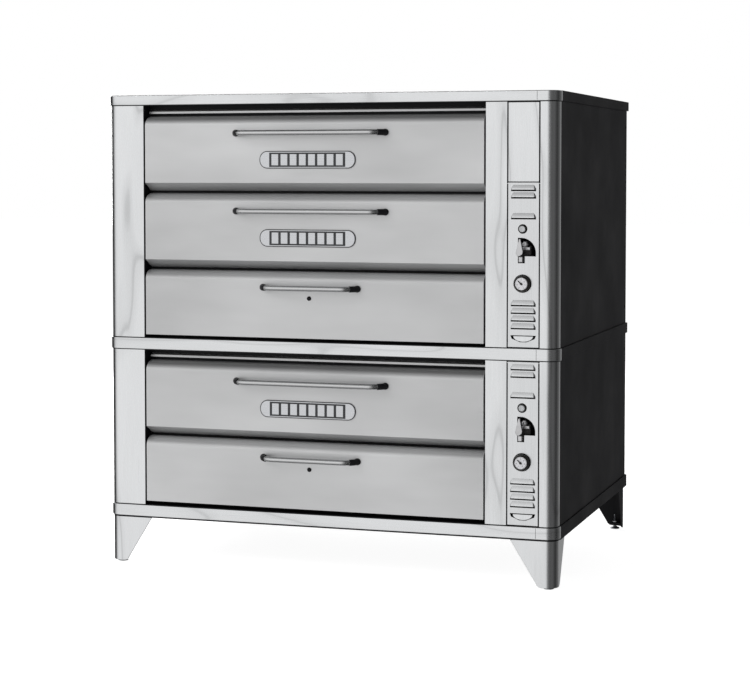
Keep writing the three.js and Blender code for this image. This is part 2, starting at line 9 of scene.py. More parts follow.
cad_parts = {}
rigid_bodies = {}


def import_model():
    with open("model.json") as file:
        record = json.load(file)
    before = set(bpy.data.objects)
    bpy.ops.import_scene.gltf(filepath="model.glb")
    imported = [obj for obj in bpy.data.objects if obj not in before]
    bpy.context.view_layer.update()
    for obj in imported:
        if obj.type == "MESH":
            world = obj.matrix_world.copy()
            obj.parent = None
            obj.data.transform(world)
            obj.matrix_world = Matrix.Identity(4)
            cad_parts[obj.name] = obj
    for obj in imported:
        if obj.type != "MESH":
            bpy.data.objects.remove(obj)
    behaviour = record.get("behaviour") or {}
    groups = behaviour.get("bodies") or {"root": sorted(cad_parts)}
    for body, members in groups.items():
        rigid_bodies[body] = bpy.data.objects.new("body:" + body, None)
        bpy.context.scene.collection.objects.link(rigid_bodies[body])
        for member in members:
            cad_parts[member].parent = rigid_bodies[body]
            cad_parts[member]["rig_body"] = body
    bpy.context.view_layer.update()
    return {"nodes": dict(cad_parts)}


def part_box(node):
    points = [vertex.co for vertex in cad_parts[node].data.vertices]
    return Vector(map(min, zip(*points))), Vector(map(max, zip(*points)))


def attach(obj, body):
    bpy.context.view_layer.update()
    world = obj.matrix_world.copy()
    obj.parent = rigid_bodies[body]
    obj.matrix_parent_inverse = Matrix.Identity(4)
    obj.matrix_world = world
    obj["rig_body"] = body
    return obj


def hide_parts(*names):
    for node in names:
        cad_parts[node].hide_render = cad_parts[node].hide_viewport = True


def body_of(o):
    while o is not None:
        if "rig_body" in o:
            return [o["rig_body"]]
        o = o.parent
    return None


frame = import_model()
scene = bpy.context.scene

# ---- The studio ----
# A white floor that runs away into a white background. The room that the steel mirrors is
# light in front and on the left, dark to the right, overhead and underfoot.
camera_data = bpy.data.cameras.new("camera")
camera_data.lens = 92.86
camera_data.sensor_width = 36.0
camera_data.shift_y = -0.10
camera_data.clip_end = 100.0
camera = bpy.data.objects.new("camera", camera_data)
camera.location = (2.0596, -6.3799, 1.2983)
camera.rotation_euler = (math.radians(87.314), 0.0, math.radians(18.027))
scene.collection.objects.link(camera)
scene.camera = camera
scene.view_settings.view_transform = "Standard"


def material(name, color, roughness, metallic=0.0, specular=0.5):
    """A new material: its colour, roughness, metal and gloss are set on its one shader."""
    made = bpy.data.materials.new(name)
    made.use_nodes = True
    shader = made.node_tree.nodes["Principled BSDF"]
    shader.inputs["Base Color"].default_value = (*color, 1.0)
    shader.inputs["Roughness"].default_value = roughness
    shader.inputs["Metallic"].default_value = metallic
    shader.inputs["Specular IOR Level"].default_value = specular
    return made, made.node_tree, shader


floor_paint, _, floor_shader = material("studio_floor", (0.5, 0.5, 0.5), 0.9)
floor_shader.inputs["Emission Color"].default_value = (1.0, 1.0, 1.0, 1.0)
floor_shader.inputs["Emission Strength"].default_value = 0.93
floor_mesh = bpy.data.meshes.new("studio_floor")
ground = bmesh.new()
bmesh.ops.create_grid(ground, x_segments=1, y_segments=1, size=40.0)
ground.to_mesh(floor_mesh)
ground.free()
floor = bpy.data.objects.new("studio_floor", floor_mesh)
floor.visible_glossy = False
floor_mesh.materials.append(floor_paint)
scene.collection.objects.link(floor)


def ramp(tree, source, stops):
    """A ramp of grey levels, given as (place, level), driven by a socket."""
    made = tree.nodes.new("ShaderNodeValToRGB")
    marks = made.color_ramp.elements
    while len(marks) < len(stops):
        marks.new(0.5)
    for mark, (place, level) in zip(marks, stops):
        mark.position = place
        mark.color = (level, level, level, 1.0)
    tree.links.new(source, made.inputs["Fac"])
    return made.outputs["Color"]


# Round the compass the wall starts at the left side, and the front comes a quarter of the way round.
wall_levels = [(0.0, 0.04), (0.03, 0.5), (0.08, 0.9), (0.15, 1.0), (0.240, 1.0), (0.275, 0.3), (0.31, 0.13),
               (0.36, 0.10), (0.42, 0.12), (0.46, 0.08), (0.52, 0.03), (0.64, 0.15), (0.76, 0.45),
               (0.84, 0.1), (0.9, 0.03), (1.0, 0.04)]
height_levels = [(0.0, 0.25), (0.15, 0.5), (0.3, 0.85), (0.42, 1.02), (0.5, 0.98), (0.6, 1.12), (0.68, 1.15),
                 (0.78, 0.85), (0.88, 0.45), (1.0, 0.3)]
world = bpy.data.worlds.new("studio")
scene.world = world
world.use_nodes = True
sky = world.node_tree
direction = sky.nodes.new("ShaderNodeTexCoord")
compass = sky.nodes.new("ShaderNodeTexGradient")
compass.gradient_type = "RADIAL"
sky.links.new(direction.outputs["Generated"], compass.inputs["Vector"])
parts = sky.nodes.new("ShaderNodeSeparateXYZ")
sky.links.new(direction.outputs["Generated"], parts.inputs["Vector"])
rise = sky.nodes.new("ShaderNodeMapRange")
rise.inputs["From Min"].default_value = -1.0
sky.links.new(parts.outputs["Z"], rise.inputs["Value"])
level = sky.nodes.new("ShaderNodeMath")
level.operation = "MULTIPLY"
sky.links.new(ramp(sky, compass.outputs["Fac"], wall_levels), level.inputs[0])
sky.links.new(ramp(sky, rise.outputs["Result"], height_levels), level.inputs[1])
room = sky.nodes.new("ShaderNodeBackground")
sky.links.new(level.outputs["Value"], room.inputs["Strength"])
room.inputs["Color"].default_value = (1.0, 1.0, 1.0, 1.0)
backdrop = sky.nodes["Background"]
backdrop.inputs["Color"].default_value = (1.0, 1.0, 1.0, 1.0)
ray = sky.nodes.new("ShaderNodeLightPath")
either = sky.nodes.new("ShaderNodeMixShader")
sky.links.new(ray.outputs["Is Camera Ray"], either.inputs["Fac"])
sky.links.new(room.outputs["Background"], either.inputs[1])
sky.links.new(backdrop.outputs["Background"], either.inputs[2])
sky.links.new(either.outputs["Shader"], sky.nodes["World Output"].inputs["Surface"])


oven_middle = Vector((0.0, 0.0, 0.8))


def soft_light(name, place, size, power, mirrored=False):
    """A square area light turned towards the oven. Only a mirrored one shows in the steel."""
    data = bpy.data.lights.new(name, "AREA")
    data.size = size
    data.energy = power
    light = bpy.data.objects.new(name, data)
    light.location = place
    light.visible_glossy = mirrored
    light.rotation_euler = (oven_middle - Vector(place)).to_track_quat("-Z", "Y").to_euler()
    scene.collection.objects.link(light)


soft_light("key_light", (-2.6, -3.8, 3.4), 2.5, 110.0)
soft_light("rear_light", (-2.8, 4.6, 2.6), 3.5, 320.0, True)
soft_light("side_light", (5.0, 1.5, 3.4), 2.0, 8.0)


def piece(name, shape, body, finish, smooth=35.0):
    """Turns a bmesh into an object that rides on a body, with one finish or a list of them."""
    mesh = bpy.data.meshes.new(name)
    shape.to_mesh(mesh)
    shape.free()
    for each in finish if isinstance(finish, list) else [finish]:
        mesh.materials.append(each)
    mesh.shade_smooth()
    mesh.set_sharp_from_angle(angle=math.radians(smooth))
    made = bpy.data.objects.new(name, mesh)
    scene.collection.objects.link(made)
    weighted = made.modifiers.new("even_normals", "WEIGHTED_NORMAL")
    weighted.keep_sharp = True
    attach(made, body)
    return made


def round_edges(shape, edges, radius, steps=2):
    """Rounds the given edges of a shape."""
    bmesh.ops.bevel(shape, geom=edges, offset=radius, offset_type="OFFSET", segments=steps, profile=0.5,
                    affect="EDGES", clamp_overlap=True, material=-1)


def merged(node):
    """A copy of a frame node with its corners merged and its flat faces whole."""
    shape = bmesh.new()
    shape.from_mesh(frame["nodes"][node].data)
    bmesh.ops.remove_doubles(shape, verts=shape.verts, dist=5e-6)
    bmesh.ops.dissolve_limit(shape, angle_limit=math.radians(0.6), verts=shape.verts, edges=shape.edges)
    return shape


sharp_angle = math.radians(30.0)


def worked(node, radius=0.0006, steps=2):
    """A merged copy of a frame node with its sharp edges rounded."""
    shape = merged(node)
    sharp = [edge for edge in shape.edges
             if len(edge.link_faces) == 2 and edge.calc_face_angle(0.0) > sharp_angle]
    round_edges(shape, sharp, radius, steps)
    return shape


def stand_in(node, name, shape, finish, smooth=35.0):
    """Makes a shape the finished piece that is shown for a frame node, on the node's own body."""
    made = piece(name, shape, body_of(frame["nodes"][node])[0], finish, smooth)
    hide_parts(node)
    return made


def pattern(tree, scale, stretch=(1.0, 1.0, 1.0), detail=3.0):
    """Noise laid over a piece in its own place, drawn out by the stretch."""
    place = tree.nodes.new("ShaderNodeTexCoord")
    mapping = tree.nodes.new("ShaderNodeMapping")
    mapping.inputs["Scale"].default_value = stretch
    noise = tree.nodes.new("ShaderNodeTexNoise")
    noise.inputs["Scale"].default_value = scale
    noise.inputs["Detail"].default_value = detail
    tree.links.new(place.outputs["Object"], mapping.inputs["Vector"])
    tree.links.new(mapping.outputs["Vector"], noise.inputs["Vector"])
    return noise.outputs["Fac"]


def spread(tree, source, low, high, start=0.3, stop=0.7):
    """Turns a pattern that runs from start to stop into one that runs from low to high."""
    made = tree.nodes.new("ShaderNodeMapRange")
    made.inputs["From Min"].default_value = start
    made.inputs["From Max"].default_value = stop
    made.inputs["To Min"].default_value = low
    made.inputs["To Max"].default_value = high
    tree.links.new(source, made.inputs["Value"])
    return made.outputs["Result"]


def blend(tree, factor, first, second):
    """Two colours mixed by a pattern. Either may be a colour or another blend."""
    made = tree.nodes.new("ShaderNodeMix")
    made.data_type = "RGBA"
    tree.links.new(factor, made.inputs["Factor"])
    for socket, color in (("A", first), ("B", second)):
        if isinstance(color, tuple):
            made.inputs[socket].default_value = (*color, 1.0)
        else:
            tree.links.new(color, made.inputs[socket])
    return made.outputs["Result"]


def relief(tree, shader, height, strength, distance):
    """Raises the surface by a pattern."""
    bump = tree.nodes.new("ShaderNodeBump")
    bump.inputs["Strength"].default_value = strength
    bump.inputs["Distance"].default_value = distance
    tree.links.new(height, bump.inputs["Height"])
    tree.links.new(bump.outputs["Normal"], shader.inputs["Normal"])


def shade(color, amount):
    """A colour made lighter or darker."""
    return tuple(min(1.0, channel * amount) for channel in color)


# A streak is a thin dark line with a faint trail on one side: partly a wiped smear, partly a painted
# reflection of the room.
smear_and_reflection_edge = [(0.0, 0.0), (0.46, 0.0), (0.485, 0.35), (0.495, 1.0), (0.505, 0.3), (0.56, 0.0), (1.0, 0.0)]


def brushed(name, color, roughness, grain, cloud, smears_and_reflections=0.0, metal=1.0):
    """Stainless sheet: fine scratches along the grain, faint clouds, and long dark streaks that are wiped
    smears and painted reflections.
    """
    made, tree, shader = material(name, color, roughness, metal)
    fine = (2.0, 260.0, 260.0) if grain == "x" else (260.0, 60.0, 2.0)
    scratch = pattern(tree, 4.0, fine, 4.0)
    patches = pattern(tree, 2.6, (0.5, 1.0, 1.6) if grain == "x" else (2.4, 1.0, 0.5))
    tint = blend(tree, spread(tree, patches, 0.0, 1.0), shade(color, 1.0 - cloud), shade(color, 1.0 + cloud))
    # Long dark streaks: wiped smears and painted reflections in one.
    if smears_and_reflections:
        path = (0.45, 1.0, 3.0) if grain == "x" else (3.0, 1.0, 0.45)
        wander = pattern(tree, 2.4, path, 1.5)
        line = ramp(tree, wander, smear_and_reflection_edge)
        strength = tree.nodes.new("ShaderNodeMath")
        strength.operation = "MULTIPLY"
        strength.inputs[1].default_value = smears_and_reflections
        tree.links.new(line, strength.inputs[0])
        tint = blend(tree, strength.outputs["Value"], tint, shade(color, 0.35))
    tree.links.new(tint, shader.inputs["Base Color"])
    tree.links.new(spread(tree, scratch, roughness - 0.07, roughness + 0.07), shader.inputs["Roughness"])
    relief(tree, shader, scratch, 0.03, 0.001)
    return made


def painted(name, color, roughness):
    """Black stoved paint over sheet steel: fine orange peel and a little settled dust."""
    made, tree, shader = material(name, color, roughness, 0.0, 0.12)
    dust = pattern(tree, 5.0, detail=5.0)
    tint = blend(tree, dust, color, tuple(channel * 1.4 + 0.001 for channel in color))
    tree.links.new(tint, shader.inputs["Base Color"])
    tree.links.new(spread(tree, dust, roughness - 0.05, roughness + 0.08), shader.inputs["Roughness"])
    relief(tree, shader, pattern(tree, 350.0, detail=2.0), 0.06, 0.0005)
    return made


bright = brushed("bright_band", (0.72, 0.73, 0.74), 0.24, "x", 0.05, 0.3)
black = painted("black_paint", (0.007, 0.007, 0.008), 0.6)
stand_in("base_trim", "base_band", worked("base_trim", 0.0016, 3), bright)
stand_in("base_frame", "base_pan", worked("base_frame", 0.0015), black)
shadow_strip_setback = 0.0025      # behind the face of its band
shadow_strip_height = 0.0025


def shadow_strip(node, name, upper):
    """A thin black strip between a band and the posts that meet it, above or below the band: a painted shadow
    line in the gap.
    """
    low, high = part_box(node)
    shape = merged(node)
    width = (high.x - shadow_strip_setback) / high.x
    squash = shadow_strip_height / (high.z - low.z)
    start = high.z if upper else low.z - shadow_strip_height
    shape.transform(Matrix.Translation((0.0, shadow_strip_setback, start - low.z * squash)) @
                    Matrix.Diagonal((width, 1.0, squash, 1.0)))
    piece(name, shape, "cabinet", black)


# A black strip over the base band: painted shadow where the band meets the posts.
shadow_strip("base_trim", "base_shadow_strip", True)
joint_inset = 0.070        # from the right end of a band
joint_width = 0.0011
joint_margin = 0.0022      # left clear above and below the line
joint_sink = 0.0004        # middle of the line behind the face of the band


def joint(node, name):
    """The dark line where a band's corner cap laps over its straight front."""
    low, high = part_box(node)
    shape = bmesh.new()
    middle = Vector((high.x - joint_inset, low.y + joint_sink, (low.z + high.z) / 2))
    half = Vector((joint_width / 2, 0.0006, (high.z - low.z) / 2 - joint_margin))
    bmesh.ops.create_cube(shape, size=2.0, matrix=Matrix.Translation(middle) @ Matrix.Diagonal((*half, 1.0)))
    piece(name, shape, "cabinet", black)


joint("base_trim", "base_band_joint")

# ---- Legs ----
# Each leg is a tapered angle of folded sheet with a rounded corner: stainless in front,
# black behind. Two hex bolts through the plate in its top hold it up to the pan.
upright = brushed("upright_stainless", (0.735, 0.745, 0.755), 0.25, "z", 0.04, 0.42)
bolt_radius = 0.0065
plate_underside = 0.0043   # below the top of the leg
bolt_insets = ((0.095, 0.035), (0.035, 0.085))


def turned(profile, sides=32, ring=False):
    """A lathe shape about the Z axis from (radius, height) points, or a ring if they close."""
    made = bmesh.new()
    verts = [made.verts.new((radius, 0.0, height)) for radius, height in profile]
    pairs = list(zip(verts, verts[1:])) + ([(verts[-1], verts[0])] if ring else [])
    edges = [made.edges.new(pair) for pair in pairs]
    bmesh.ops.spin(made, geom=verts + edges, cent=(0, 0, 0), axis=(0, 0, 1), angle=math.tau, steps=sides,
                   use_merge=True)
    bmesh.ops.remove_doubles(made, verts=made.verts, dist=1e-6)
    bmesh.ops.recalc_face_normals(made, faces=made.faces)
    return made


def put(shape, part, place=(0.0, 0.0, 0.0), turn=Matrix()):
    """Adds a copy of a part to a shape, turned and then moved to a place."""
    copy = part.copy()
    copy.transform(Matrix.Translation(place) @ turn)
    mesh = bpy.data.meshes.new("part")
    copy.to_mesh(mesh)
    copy.free()
    shape.from_mesh(mesh)
    bpy.data.meshes.remove(mesh)


TO_FLOOR = Matrix.Rotation(math.radians(180.0), 4, "X")
hex_head = turned([(0.0, 0.62), (0.55, 0.62), (0.86, 0.60), (1.0, 0.48), (1.0, 0.0), (1.3, 0.0), (1.3, -0.12),
                   (0.0, -0.12)], 6)
hex_head.transform(Matrix.Scale(bolt_radius, 4))
for place in ("front_left", "front_right", "rear_left", "rear_right"):
    node = f"{place}_leg"
    front = place.startswith("front")
    stand_in(node, f"{place}_tapered_leg", worked(node, 0.0009), upright if front else black)
    low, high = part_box(node)
    side = 1.0 if place.endswith("right") else -1.0
    facing = -1.0 if front else 1.0
    outer = high.x if side > 0 else low.x
    face = low.y if front else high.y
    bolts = bmesh.new()
    for across, along in bolt_insets:
        spot = (outer - side * across, face - facing * along, high.z - plate_underside)
        put(bolts, hex_head, spot, TO_FLOOR)
    piece(f"{place}_leg_bolts", bolts, "cabinet", black)

# ---- Levelling feet ----
# A threaded stem with a round pressed pad screws up into a socket plate inside each leg,
# and a lock nut holds it at its height.
zinc = brushed("zinc_plated", (0.46, 0.47, 0.49), 0.42, "z", 0.15)
pad_radius = 0.017
stem_radius = 0.005
thread_low = 0.0095
thread_pitch = 0.0018
thread_depth = 0.0007
nut_low = 0.0235
nut_high = 0.0285
for place in ("front_left", "front_right", "rear_left", "rear_right"):
    node = f"{place}_foot"
    low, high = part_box(node)
    middle = (low + high) / 2
    profile = [(0.0, 0.0), (pad_radius - 0.002, 0.0), (pad_radius, 0.0012), (pad_radius, 0.0030),
               (pad_radius - 0.0025, 0.0048), (0.010, 0.0055), (0.008, 0.0085), (stem_radius, 0.0090)]
    turn_count = int((high.z - thread_low - 0.0015) / thread_pitch)
    for i in range(turn_count):
        crest = thread_low + (i + 0.25) * thread_pitch
        profile += [(stem_radius, crest), (stem_radius - thread_depth, crest + thread_pitch / 2)]
    profile += [(stem_radius - 0.001, high.z - 0.0005), (0.0, high.z)]
    foot = turned(profile, 28)
    nut = turned([(stem_radius + 0.0002, nut_low), (0.0085, nut_low), (0.0095, nut_low + 0.0008),
                  (0.0095, nut_high - 0.0008), (0.0085, nut_high), (stem_radius + 0.0002, nut_high)], 6, True)
    put(foot, nut)
    foot.transform(Matrix.Translation((middle.x, middle.y, 0.0)))
    stand_in(node, f"{place}_levelling_foot", foot, zinc)

# ---- Sides and backs of both sections ----
# Plain panels of black painted sheet. Pan-head screws hold the backs along their edges and
# the sides along their rear edge. The upper back carries the flue collar.
screw_head = turned([(0.0, 0.18), (0.30, 0.18), (0.38, 0.52), (0.70, 0.46), (0.93, 0.26), (1.0, 0.0),
                     (1.0, -0.1), (0.0, -0.1)], 12)
screw_radius = 0.0042
screw_head.transform(Matrix.Scale(screw_radius, 4))
edge_margin = 0.018        # screws in from the nearest edge
side_screws = {"lower": 3, "upper": 4}
side_margin = 0.060        # first and last screw of a side
back_columns = 8
back_rows = 3
back_margin = 0.030
TO_BACK = Matrix.Rotation(math.radians(-90.0), 4, "X")
TO_RIGHT = Matrix.Rotation(math.radians(90.0), 4, "Y")
TO_LEFT = Matrix.Rotation(math.radians(-90.0), 4, "Y")
for level in ("lower", "upper"):
    for side, outward in (("left", TO_LEFT), ("right", TO_RIGHT)):
        node = f"{level}_{side}_side"
        stand_in(node, f"{node}_sheet", worked(node, 0.0008), black)
        low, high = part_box(node)
        outer = high.x if side == "right" else low.x
        screws = bmesh.new()
        step = (high.z - low.z - 2 * side_margin) / (side_screws[level] - 1)
        for i in range(side_screws[level]):
            put(screws, screw_head, (outer, high.y - edge_margin, low.z + side_margin + step * i), outward)
        piece(f"{node}_screws", screws, "cabinet", black)
    node = f"{level}_back"
    stand_in(node, f"{level}_back_sheet", worked(node, 0.0008), black)
    low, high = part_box(f"{level}_left_side")
    half = -low.x - back_margin
    spots = [(half * (2 * i / (back_columns - 1) - 1), height) for i in range(back_columns)
             for height in (low.z + edge_margin, high.z - edge_margin)]
    spots += [(across, low.z + (high.z - low.z) * i / (back_rows + 1)) for i in range(1, back_rows + 1)
              for across in (-half, half)]
    screws = bmesh.new()
    for across, height in spots:
        put(screws, screw_head, (across, high.y, height), TO_BACK)
    piece(f"{level}_back_screws", screws, "cabinet", zinc)

# ---- Corner posts and door stiles ----
# Folded stainless posts with rounded outer corners, wiped smooth up and down, and a stile
# between the doors and the controls. Their inner flanges carry the door rods and are painted black as painted
# shade in the gaps beside the doors.
flange_start = 0.004       # behind the face of the post
flange_depth = 0.006       # in from the edge of the post
for level in ("lower", "upper"):
    for part, name, flanged in (("left_post", "left_corner_post", ("right",)),
                                ("right_post", "right_corner_post", ("left",)),
                                ("door_stile", "door_jamb", ("left", "right"))):
        low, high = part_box(f"{level}_{part}")
        edges = {"left": low.x, "right": high.x}
        shape = worked(f"{level}_{part}")
        # Faces on the inner flanges take black paint: painted shade for the dark gap beside a door.
        for face in shape.faces:
            spot = face.calc_center_median()
            in_painted_shade = min(abs(spot.x - edges[side]) for side in flanged) < flange_depth
            face.material_index = 1 if in_painted_shade and spot.y > low.y + flange_start else 0
        stand_in(f"{level}_{part}", f"{level}_{name}", shape, [upright, black])

# ---- Oven boxes and hearths ----
# An insulated box of aluminised sheet, heat-stained inside. Its front and outer faces are black enamel:
# painted shade for the dark door gaps and control space. Each chamber has a thick steel hearth in its floor.
front_depth = 0.004
case_wall = 0.028


def heated(name, color, stain, roughness):
    """Sheet that has seen the fire: cloudy bronze stains and dull patches."""
    made, tree, shader = material(name, color, roughness, 0.85)
    burnt = pattern(tree, 3.0, (1.0, 1.0, 2.0), 6.0)
    specks = pattern(tree, 60.0, detail=3.0)
    tint = blend(tree, spread(tree, burnt, 0.0, 1.0), color, stain)
    tree.links.new(blend(tree, spread(tree, specks, 0.0, 0.35, 0.5, 0.8), tint, shade(stain, 0.4)),
                   shader.inputs["Base Color"])
    tree.links.new(spread(tree, burnt, roughness - 0.1, roughness + 0.15), shader.inputs["Roughness"])
    relief(tree, shader, specks, 0.08, 0.0006)
    return made


lining = heated("lining_sheet", (0.30, 0.29, 0.27), (0.15, 0.11, 0.08), 0.5)
hearth_steel = heated("hearth_steel", (0.15, 0.13, 0.12), (0.07, 0.055, 0.05), 0.6)
enamel = painted("black_enamel", (0.008, 0.008, 0.009), 0.45)
for level in ("lower", "upper"):
    node = f"{level}_oven_box"
    shape = worked(node, 0.0015)
    low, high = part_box(node)
    # Faces outside the chambers take the black enamel as painted shade.
    for face in shape.faces:
        spot = face.calc_center_median()
        inside = low.x + case_wall < spot.x < high.x - case_wall and spot.y < high.y - case_wall
        inside = inside and low.z + front_depth < spot.z < high.z - front_depth
        face.material_index = 0 if inside and spot.y > low.y + front_depth else 1
    stand_in(node, f"{level}_lining", shape, [lining, enamel])
for name in ("bottom", "middle", "top"):
    stand_in(f"{name}_hearth", f"{name}_hearth_plate", worked(f"{name}_hearth", 0.003, 3), hearth_steel)

# ---- Burners and gas trains ----
# Three ported steel tubes on a cross pipe under the lowest hearth. Black iron pipe brings
# gas in at the back and past the valve, thermostat and pilot behind the controls.
burner_rise = 0.060        # burner axis above the line of the door rod
tube_radius = 0.020
pipe_radius = 0.013
pipe_wall = 0.0035
cross_behind_front = 0.400
cross_inset = 0.090        # closed end of the cross pipe, in from the compartment wall
tube_front = 0.080
tube_extra = 0.053         # by which a tube reaches further back than forward
tube_shares = (0.15, 0.5, 0.85)
prop_inset = 0.036         # props under a tube, in from its ends
prop_half = Vector((0.012, 0.006, 0.0))
compartment_inset = 0.060
valve_behind = 0.016       # face of the valve behind the face of the cover
train_behind = 0.066       # gas pipe behind the face of the cover
prop_gap = 0.0004          # props clear of the compartment floor
port_count = 22            # in each of the two rows on a tube
port_margin = 0.030
port_lean = math.radians(32.0)
port_radius = 0.0028
cock_radius = 0.0100
lever_half_width = 0.008
thread_turns = 11          # on the pipe end where the gas comes in
TO_FRONT = Matrix.Rotation(math.radians(90.0), 4, "X")


def cast(name, color, roughness, metallic, grit=0.25):
    """Sand-cast or scaled metal with a grainy skin."""
    made, tree, shader = material(name, color, roughness, metallic)
    grains = pattern(tree, 420.0, detail=3.0)
    patches = pattern(tree, 18.0, detail=4.0)
    tree.links.new(blend(tree, spread(tree, patches, 0.0, 1.0), shade(color, 0.75), shade(color, 1.25)),
                   shader.inputs["Base Color"])
    tree.links.new(spread(tree, patches, roughness - 0.08, roughness + 0.1), shader.inputs["Roughness"])
    relief(tree, shader, grains, grit, 0.0005)
    return made


iron = cast("black_iron", (0.045, 0.043, 0.042), 0.6, 0.6)
aluminium = cast("cast_aluminium", (0.62, 0.62, 0.63), 0.34, 1.0, 0.08)
rod_edge = 0.0015


def rod(start, end, radius):
    """A round bar between two points with softened ends."""
    start, end = Vector(start), Vector(end)
    length = (end - start).length
    made = turned([(0.0, 0.0), (radius - rod_edge, 0.0), (radius, rod_edge), (radius, length - rod_edge),
                   (radius - rod_edge, length), (0.0, length)], 28)
    turn = Vector((0.0, 0.0, 1.0)).rotation_difference(end - start).to_matrix().to_4x4()
    made.transform(Matrix.Translation(start) @ turn)
    return made


def block(shape, low, high, radius, steps=2):
    """Adds a box between two corners to a shape, with its edges rounded."""
    low, high = Vector(low), Vector(high)
    place = Matrix.Translation((low + high) / 2) @ Matrix.Diagonal((*(high - low), 1.0))
    made = bmesh.ops.create_cube(shape, size=1.0, matrix=place)
    round_edges(shape, list({edge for vert in made["verts"] for edge in vert.link_edges}), radius, steps)


port = turned([(0.0, 0.4), (0.55, 0.4), (0.6, 1.0), (0.8, 1.0), (1.1, -0.4), (0.0, -0.4)], 10)
port.transform(Matrix.Scale(port_radius, 4))
for level in ("lower", "upper"):
    node = f"{level}_burner"
    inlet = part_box(node)[1].y
    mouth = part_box(f"{level}_oven_box")[0].y
    door_low, door_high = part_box(f"{level}_burner_door_panel")
    rod_low, rod_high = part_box(f"{level}_burner_door_rod")
    hinge_line = (rod_low.z + rod_high.z) / 2
    axis = hinge_line + burner_rise
    cross = mouth + cross_behind_front
    left = door_low.x + compartment_inset
    right = door_high.x - compartment_inset
    front = mouth + tube_front
    rear = cross + (cross - front) + tube_extra
    dial_low, dial_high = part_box(f"{level}_thermostat_dial")
    supply = (dial_low.x + dial_high.x) / 2
    tubes = rod((left + cross_inset, cross, axis), (supply, cross, axis), tube_radius)
    for share in tube_shares:
        x = left + (right - left) * share
        put(tubes, rod((x, front, axis), (x, rear, axis), tube_radius))
        for y in (front + prop_inset, rear - prop_inset):
            foot = Vector((x, y, hinge_line + prop_gap))
            block(tubes, foot - prop_half, Vector((x, y, axis)) + prop_half, 0.0008)
        for i in range(port_count):
            y = front + port_margin + (rear - front - 2 * port_margin) * i / (port_count - 1)
            for angle in (port_lean, -port_lean):
                turn = Matrix.Rotation(angle, 4, "Y")
                put(tubes, port, Vector((x, y, axis)) + turn @ Vector((0.0, 0.0, tube_radius)), turn)
    stand_in(node, f"{level}_burner_tubes", tubes, iron)

    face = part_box(f"{level}_right_post")[0].y
    train = face + train_behind
    valve_face = face + valve_behind
    dial_height = (dial_low.z + dial_high.z) / 2
    button_low, button_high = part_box(f"{level}_pilot_button")
    button_height = (button_low.z + button_high.z) / 2
    pipes = rod((supply, train, axis), (supply, cross, axis), pipe_radius)
    put(pipes, rod((supply, train, axis - pipe_radius), (supply, train, button_height + 0.02), pipe_radius))
    put(pipes, rod((supply, cross, axis), (supply, inlet - 0.03, axis), pipe_radius))
    sleeve = turned([(pipe_radius, 0.0), (pipe_radius + 0.0035, 0.0), (pipe_radius + 0.0045, 0.001),
                     (pipe_radius + 0.0045, 0.006), (pipe_radius + 0.002, 0.008), (pipe_radius + 0.002, 0.02),
                     (pipe_radius + 0.0045, 0.022), (pipe_radius + 0.0045, 0.027), (pipe_radius, 0.028)], 24)
    for y in (train + 0.02, cross - 0.06, cross + 0.2):
        put(pipes, sleeve, (supply, y, axis), TO_BACK)
    put(pipes, sleeve, (supply, train, axis + 0.02))
    bore = pipe_radius - pipe_wall
    nipple = [(bore, 0.0)]
    for i in range(thread_turns):
        nipple += [(pipe_radius - 0.0008, 0.0025 + i * 0.0022), (pipe_radius, 0.0034 + i * 0.0022)]
    nipple += [(pipe_radius, 0.035), (bore, 0.035)]
    put(pipes, turned(nipple, 32, True), (supply, inlet, axis), TO_FRONT)
    piece(f"{level}_gas_pipe", pipes, "cabinet", iron)

    valve = bmesh.new()
    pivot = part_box(f"{level}_valve_lever")[0].z + lever_half_width
    block(valve, (supply - 0.026, valve_face, pivot - 0.026),
          (supply + 0.024, train + 0.004, pivot + 0.022), 0.003, 3)
    body = turned([(0.0, 0.0), (0.024, 0.0), (0.026, 0.002), (0.026, 0.01), (0.030, 0.013), (0.030, 0.044),
                   (0.028, 0.048), (0.0, 0.048)], 36)
    put(valve, body, (supply, train + 0.008, dial_height), TO_FRONT)
    pilot = turned([(0.0, 0.0), (0.017, 0.0), (0.019, 0.002), (0.019, 0.042), (0.016, 0.046),
                    (0.0, 0.046)], 30)
    put(valve, pilot, (supply, train + 0.004, button_height), TO_FRONT)
    piece(f"{level}_gas_valve", valve, "cabinet", iron, 40.0)
    cock = turned([(0.0, 0.0), (cock_radius, 0.0), (cock_radius, 0.011), (cock_radius - 0.002, 0.013),
                   (cock_radius * 0.6, 0.0135), (cock_radius * 0.55, 0.017), (0.0, 0.017)], 6)
    shape = bmesh.new()
    put(shape, cock, (supply + 0.006, valve_face + 0.003, pivot + 0.026), TO_FRONT)
    block(shape, (supply - 0.004, valve_face - 0.008, pivot + 0.008),
          (supply + 0.022, valve_face + 0.001, pivot + 0.017), 0.002)
    piece(f"{level}_gas_cock", shape, "cabinet", aluminium, 40.0)

